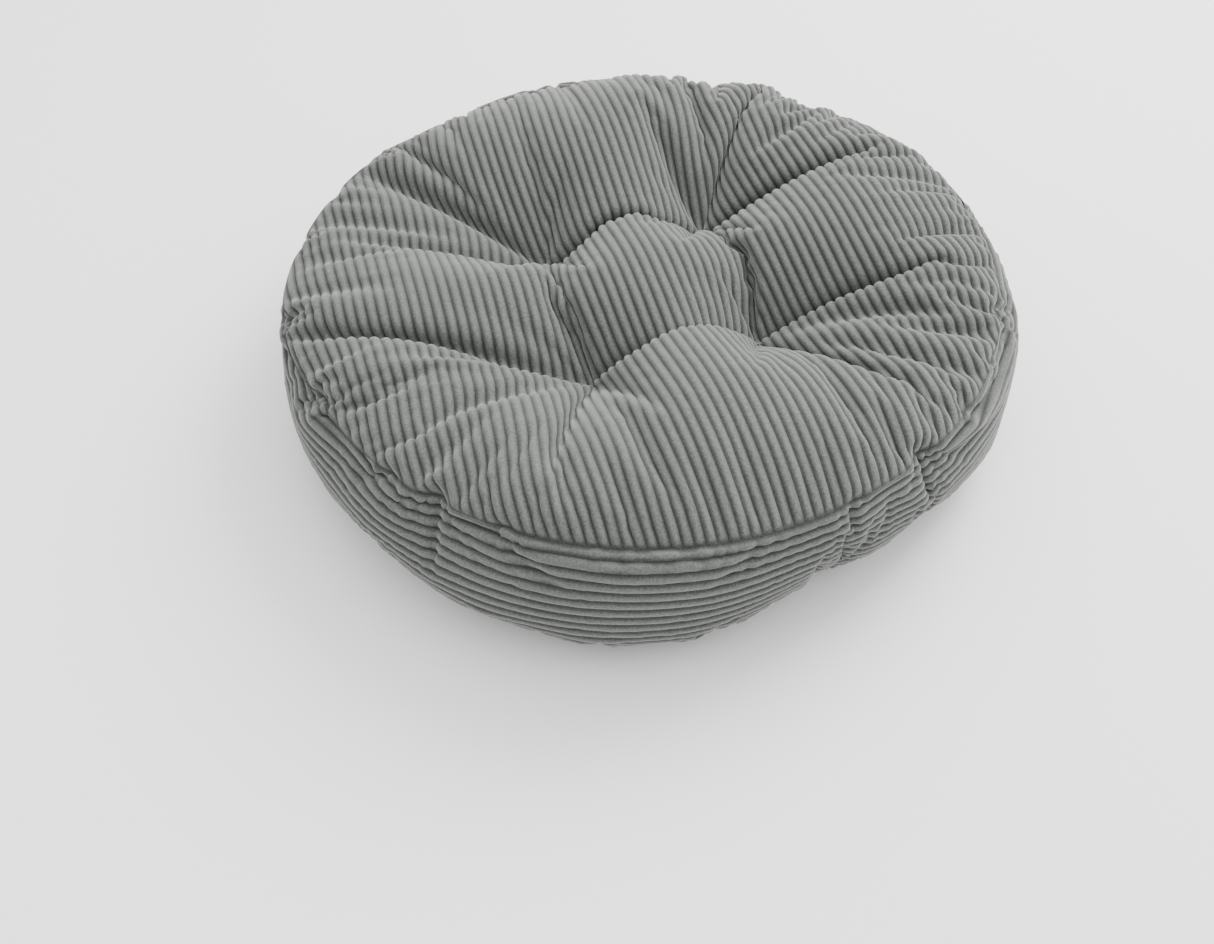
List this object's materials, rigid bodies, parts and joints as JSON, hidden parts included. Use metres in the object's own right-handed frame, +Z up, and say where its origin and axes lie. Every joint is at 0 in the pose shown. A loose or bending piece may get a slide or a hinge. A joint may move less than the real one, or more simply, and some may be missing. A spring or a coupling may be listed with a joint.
{
  "type": "seat cushion",
  "caption": "Round stuffed seat cushion in wide-wale corduroy, with deep tufts, a boxed side band and a printed non-slip base.",
  "frame": {"origin": "on the floor under the middle of the base", "axes": "+Z up; the wales of the top run along Y; the band's join and the closing seam are at the back, on +Y"},
  "size_m": [0.4264, 0.4264, 0.114],
  "materials": {
    "corduroy": "sage-grey cotton corduroy with wide velvety wales",
    "base_cloth": "grey-mauve plain weave",
    "grip_print": "matt dark silicone dashes",
    "fibre": "loose white polyester fibre",
    "thread": "matt spun polyester sewing thread",
    "twine": "waxed twisted tufting twine"
  },
  "bodies": {
    "root": {"top_cover": "corduroy", "side_band": "corduroy", "base_cover": "base_cloth", "grip_print": "grip_print", "fibre_filling": "fibre", "top_seam_thread": "thread", "base_seam_thread": "thread", "band_join_thread": "thread", "closing_thread": "thread", "tuft_twine_front_left": "twine", "tuft_knot_front_left": "twine", "tuft_twine_front_right": "twine", "tuft_knot_front_right": "twine", "tuft_twine_back_left": "twine", "tuft_knot_back_left": "twine", "tuft_twine_back_right": "twine", "tuft_knot_back_right": "twine"}
  },
  "joints": []
}
